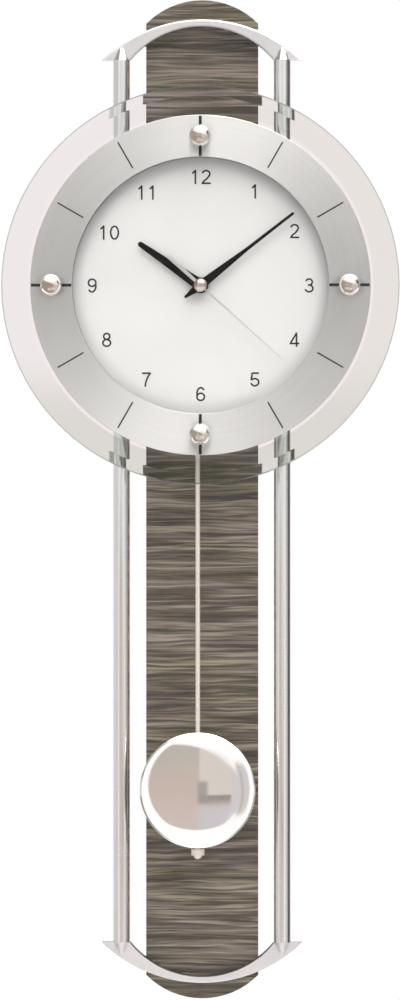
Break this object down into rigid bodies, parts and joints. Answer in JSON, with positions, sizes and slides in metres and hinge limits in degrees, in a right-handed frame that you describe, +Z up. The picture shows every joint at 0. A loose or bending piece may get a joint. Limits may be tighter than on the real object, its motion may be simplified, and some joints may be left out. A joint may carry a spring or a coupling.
{
  "type": "radio-controlled wall clock",
  "caption": "Tall wall clock with a round bevelled glass over a white dial, a wooden back panel, metal tubes between crescent arches, and a pendulum below.",
  "frame": {"origin": "centre of the round hole of the hanger plate's keyhole, in the plane of the wall", "axes": "+Z up along the back panel, +Y into the wall, +X to the right as seen from the front"},
  "size_m": [0.276, 0.0756, 0.7],
  "materials": {
    "veneer": "grey-brown veneer with fine wavy streaks across the panel, satin lacquer",
    "block_wood": "plain planed softwood, unfinished",
    "zinc": "bright zinc plated steel",
    "satin_metal": "satin cast and turned metal",
    "polished_tube": "polished",
    "white_sheet": "white lacquered sheet",
    "dial_white": "white matt dial with dark grey print",
    "brushed_ring": "brushed in circles, black printed marks",
    "clear_nylon": "milky plastic washers",
    "clear_glass": "clear, bevelled and polished edge",
    "knob_chrome": "mirror polished",
    "hand_black": "thin aluminium sheet with black lacquer, half gloss",
    "hand_silver": "satin",
    "black_plastic": "fine spark-eroded moulding",
    "brass": "turned",
    "gear_plastic": "natural moulded acetal",
    "magnet": "sintered, dark",
    "stator_iron": "stamped soft iron",
    "copper_winding": "enamelled copper wire in layers",
    "board_green": "solder-masked board",
    "button_grey": "moulded",
    "button_red": "moulded",
    "ferrite": "sintered, dull",
    "cell_sleeve": null
  },
  "bodies": {
    "root": {"back_panel": "veneer", "hanger_block": "block_wood", "foot_block": "block_wood", "foot_screws": "zinc", "hanger_plate": "zinc", "hanger_screws": "zinc", "upper_arch": "satin_metal", "lower_arch": "satin_metal", "arch_screws": "zinc", "left_tube": "polished_tube", "right_tube": "polished_tube", "dial_pillars": "satin_metal", "pillar_screws": "zinc", "dial_screws": "zinc", "dial_housing": "white_sheet", "dial_face": "dial_white", "chapter_ring": "brushed_ring", "glass_pads": "clear_nylon", "glass_cover": "clear_glass", "dome_knobs": "knob_chrome", "knob_nuts": "zinc", "movement_case": "black_plastic", "movement_cover": "black_plastic", "movement_screws": "zinc", "centre_washer": "zinc", "centre_nut": "zinc", "wheel_stud": "zinc", "motor_stators": "stator_iron", "motor_coils": "copper_winding", "train_bridge": "gear_plastic", "bridge_screws": "zinc", "circuit_board": "board_green", "ferrite_antenna": "ferrite", "antenna_coil": "copper_winding", "battery_contacts": "zinc", "lever_pin": "zinc", "pendulum_coil": "copper_winding"},
    "second_work": {"second_arbor": "gear_plastic", "second_hand": "hand_silver", "hand_cap": "knob_chrome"},
    "second_idler": {"second_idler": "gear_plastic"},
    "second_rotor": {"second_rotor": "magnet"},
    "minute_work": {"minute_arbor": "brass", "minute_hand": "hand_black"},
    "minute_idler": {"minute_idler": "gear_plastic"},
    "minute_rotor": {"minute_rotor": "magnet"},
    "minute_wheel": {"minute_wheel": "gear_plastic"},
    "hour_work": {"hour_wheel": "gear_plastic", "hour_hand": "hand_black"},
    "pendulum": {"pendulum_lever": "gear_plastic", "lever_magnet": "magnet", "pendulum_rod": "polished_tube"},
    "bob": {"bob_dome": "knob_chrome", "bob_back": "satin_metal", "bob_slider": "black_plastic"},
    "rating_nut": {"rating_nut": "satin_metal"},
    "set_button": {"set_button": "button_grey"},
    "reset_button": {"reset_button": "button_red"},
    "battery": {"battery_cell": "cell_sleeve"}
  },
  "joints": [
    {"name": "second_hand_turn", "type": "hinge", "parent": "root", "child": "second_work", "pos_m": [0, -0.055, -0.13], "axis": [0, 1, 0], "continuous": true},
    {"name": "second_idler_turn", "type": "hinge", "parent": "root", "child": "second_idler", "pos_m": [-0.0068, -0.04, -0.13], "axis": [0, 1, 0], "continuous": true},
    {"name": "second_rotor_turn", "type": "hinge", "parent": "root", "child": "second_rotor", "pos_m": [-0.0118, -0.04, -0.13], "axis": [0, 1, 0], "continuous": true},
    {"name": "minute_hand_turn", "type": "hinge", "parent": "root", "child": "minute_work", "pos_m": [0, -0.055, -0.13], "axis": [0, 1, 0], "continuous": true},
    {"name": "minute_idler_turn", "type": "hinge", "parent": "root", "child": "minute_idler", "pos_m": [0.0068, -0.04, -0.13], "axis": [0, 1, 0], "continuous": true},
    {"name": "minute_rotor_turn", "type": "hinge", "parent": "root", "child": "minute_rotor", "pos_m": [0.0118, -0.04, -0.13], "axis": [0, 1, 0], "continuous": true},
    {"name": "minute_wheel_turn", "type": "hinge", "parent": "root", "child": "minute_wheel", "pos_m": [0, -0.045, -0.12], "axis": [0, 1, 0], "continuous": true},
    {"name": "hour_hand_turn", "type": "hinge", "parent": "root", "child": "hour_work", "pos_m": [0, -0.05, -0.13], "axis": [0, 1, 0], "continuous": true},
    {"name": "pendulum_swing", "type": "hinge", "parent": "root", "child": "pendulum", "pos_m": [-0.0025, -0.038, -0.167], "axis": [0, 1, 0], "range_deg": [-5, 5]},
    {"name": "bob_slide", "type": "slide", "parent": "pendulum", "child": "bob", "axis": [0, 0, 1], "range_m": [-0.001, 0.0025]},
    {"name": "rating_nut_turn", "type": "hinge", "parent": "bob", "child": "rating_nut", "pos_m": [-0.0025, -0.0355, -0.5224], "axis": [0, 0, 1], "range_deg": [-720, 1800]},
    {"name": "set_button_press", "type": "slide", "parent": "root", "child": "set_button", "axis": [0, -1, 0], "range_m": [0, 0.0006], "stiffness_N_per_m": 800, "springref_m": -0.0002},
    {"name": "reset_button_press", "type": "slide", "parent": "root", "child": "reset_button", "axis": [0, -1, 0], "range_m": [0, 0.0006], "stiffness_N_per_m": 800, "springref_m": -0.0002},
    {"name": "battery_removal", "type": "slide", "parent": "root", "child": "battery", "axis": [0, 1, 0], "range_m": [0, 0.065]}
  ],
  "couplings": [
    {"joint": "second_idler_turn", "follows": "second_hand_turn", "ratio": -7.5},
    {"joint": "second_rotor_turn", "follows": "second_hand_turn", "ratio": 30},
    {"joint": "minute_idler_turn", "follows": "minute_hand_turn", "ratio": -7.5},
    {"joint": "minute_rotor_turn", "follows": "minute_hand_turn", "ratio": 30},
    {"joint": "minute_wheel_turn", "follows": "minute_hand_turn", "ratio": -0.33333},
    {"joint": "hour_hand_turn", "follows": "minute_hand_turn", "ratio": 0.083333},
    {"joint": "rating_nut_turn", "follows": "bob_slide", "rad_per_m": 12566}
  ]
}
